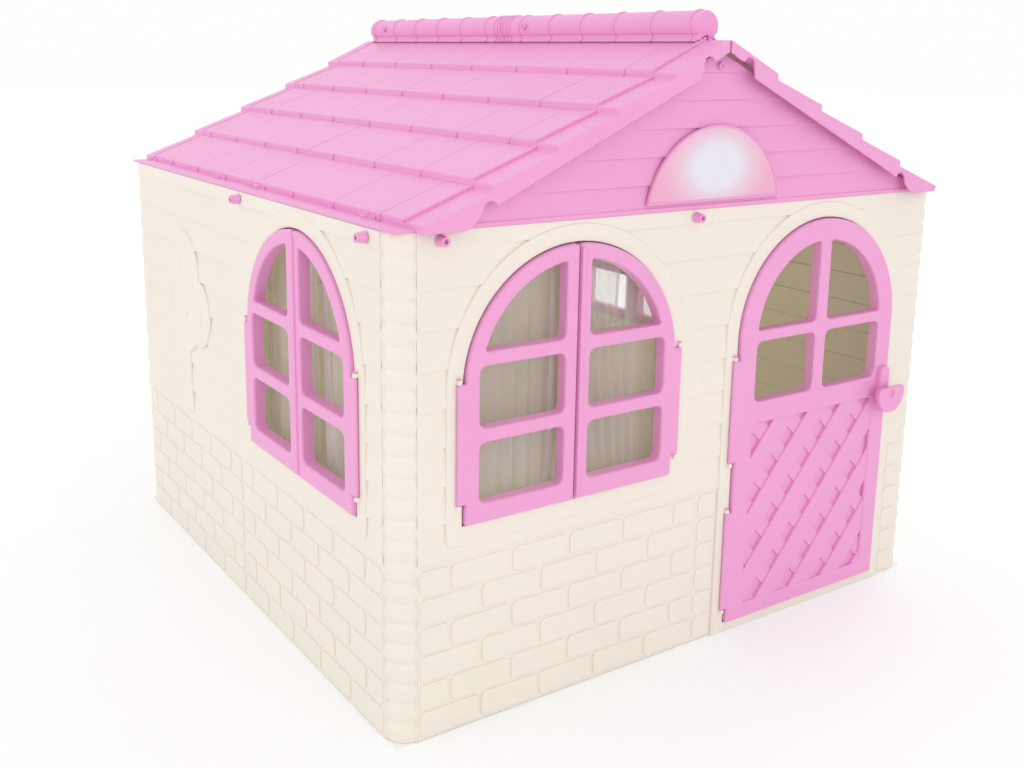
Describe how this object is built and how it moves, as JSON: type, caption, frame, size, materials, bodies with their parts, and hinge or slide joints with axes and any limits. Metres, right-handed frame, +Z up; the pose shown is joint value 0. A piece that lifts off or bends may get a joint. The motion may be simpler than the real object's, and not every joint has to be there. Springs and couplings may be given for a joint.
{
  "type": "plastic playhouse",
  "caption": "Square children's playhouse with moulded walls, gabled roof, arched shuttered windows, curtains and a half-glazed hinged door with a turn latch.",
  "frame": {"origin": "on the floor, at the middle of the four walls", "axes": "+Z up, the front with the door faces -Y, +X to the right seen from the front"},
  "size_m": [1.3326, 1.3643, 1.1964],
  "materials": {
    "cream_walls": "moulded cream plastic, fine satin grain",
    "cream_columns": "moulded cream plastic, smooth satin",
    "pink_roof": "moulded pink plastic, satin gloss",
    "pink_joinery": "moulded pink plastic, satin gloss",
    "badge_plastic": "smooth pale plaque shading to pink at the rim, bare",
    "curtain_fabric": "sheer woven cloth with a plain hem"
  },
  "bodies": {
    "house": {"front_window_panel": "cream_walls", "front_door_panel": "cream_walls", "left_window_panel": "cream_walls", "left_tree_panel": "cream_walls", "right_window_panel": "cream_walls", "right_tree_panel": "cream_walls", "back_left_panel": "cream_walls", "back_right_panel": "cream_walls", "column_front_left": "cream_columns", "column_front_right": "cream_columns", "column_back_left": "cream_columns", "column_back_right": "cream_columns", "front_joint_channel": "cream_walls", "left_joint_channel": "cream_walls", "right_joint_channel": "cream_walls", "back_joint_channel": "cream_walls", "gable_front": "pink_roof", "gable_back": "pink_roof", "badge_plaque": "badge_plastic", "roof_left_front": "pink_roof", "roof_left_back": "pink_roof", "roof_right_front": "pink_roof", "roof_right_back": "pink_roof", "ridge_cap_front": "pink_roof", "ridge_cap_back": "pink_roof", "ridge_screws": "pink_roof", "ridge_nuts": "pink_roof", "apex_brackets": "cream_walls", "apex_screws": "pink_roof", "front_wall_bolts": "pink_roof", "left_wall_bolts": "pink_roof", "right_wall_bolts": "pink_roof", "back_wall_bolts": "pink_roof", "wall_bolt_nuts": "pink_roof", "front_hinge_rods": "pink_joinery", "left_hinge_rods": "pink_joinery", "right_hinge_rods": "pink_joinery", "door_hinge_rods": "pink_joinery", "front_curtain_rod": "cream_walls", "left_curtain_rod": "cream_walls", "right_curtain_rod": "cream_walls", "front_curtain_left": "curtain_fabric", "front_curtain_right": "curtain_fabric", "left_curtain_back": "curtain_fabric", "left_curtain_front": "curtain_fabric", "right_curtain_front": "curtain_fabric", "right_curtain_back": "curtain_fabric"},
    "front_shutter_left_leaf": {"front_shutter_left": "pink_joinery"},
    "front_shutter_right_leaf": {"front_shutter_right": "pink_joinery"},
    "left_shutter_back_leaf": {"left_shutter_back": "pink_joinery"},
    "left_shutter_front_leaf": {"left_shutter_front": "pink_joinery"},
    "right_shutter_front_leaf": {"right_shutter_front": "pink_joinery"},
    "right_shutter_back_leaf": {"right_shutter_back": "pink_joinery"},
    "door": {"door_leaf": "pink_joinery"},
    "latch": {"latch_knob": "pink_joinery", "latch_catch": "cream_walls", "latch_screw": "pink_joinery"}
  },
  "joints": [
    {"name": "front_shutter_left_hinge", "type": "hinge", "parent": "house", "child": "front_shutter_left_leaf", "pos_m": [-0.5345, -0.6553, 0.5], "axis": [0, 0, -1], "range_deg": [0, 120]},
    {"name": "front_shutter_right_hinge", "type": "hinge", "parent": "house", "child": "front_shutter_right_leaf", "pos_m": [-0.0705, -0.6553, 0.5], "axis": [0, 0, 1], "range_deg": [0, 120]},
    {"name": "left_shutter_back_hinge", "type": "hinge", "parent": "house", "child": "left_shutter_back_leaf", "pos_m": [-0.6553, -0.0705, 0.5], "axis": [0, 0, -1], "range_deg": [0, 120]},
    {"name": "left_shutter_front_hinge", "type": "hinge", "parent": "house", "child": "left_shutter_front_leaf", "pos_m": [-0.6553, -0.5345, 0.5], "axis": [0, 0, 1], "range_deg": [0, 120]},
    {"name": "right_shutter_front_hinge", "type": "hinge", "parent": "house", "child": "right_shutter_front_leaf", "pos_m": [0.6553, 0.0705, 0.5], "axis": [0, 0, -1], "range_deg": [0, 120]},
    {"name": "right_shutter_back_hinge", "type": "hinge", "parent": "house", "child": "right_shutter_back_leaf", "pos_m": [0.6553, 0.5345, 0.5], "axis": [0, 0, 1], "range_deg": [0, 120]},
    {"name": "door_hinge", "type": "hinge", "parent": "house", "child": "door", "pos_m": [0.0725, -0.6553, 0.4], "axis": [0, 0, -1], "range_deg": [0, 90]},
    {"name": "latch_turn", "type": "hinge", "parent": "door", "child": "latch", "pos_m": [0.4995, -0.665, 0.436], "axis": [0, -1, 0], "range_deg": [0, 90]}
  ]
}
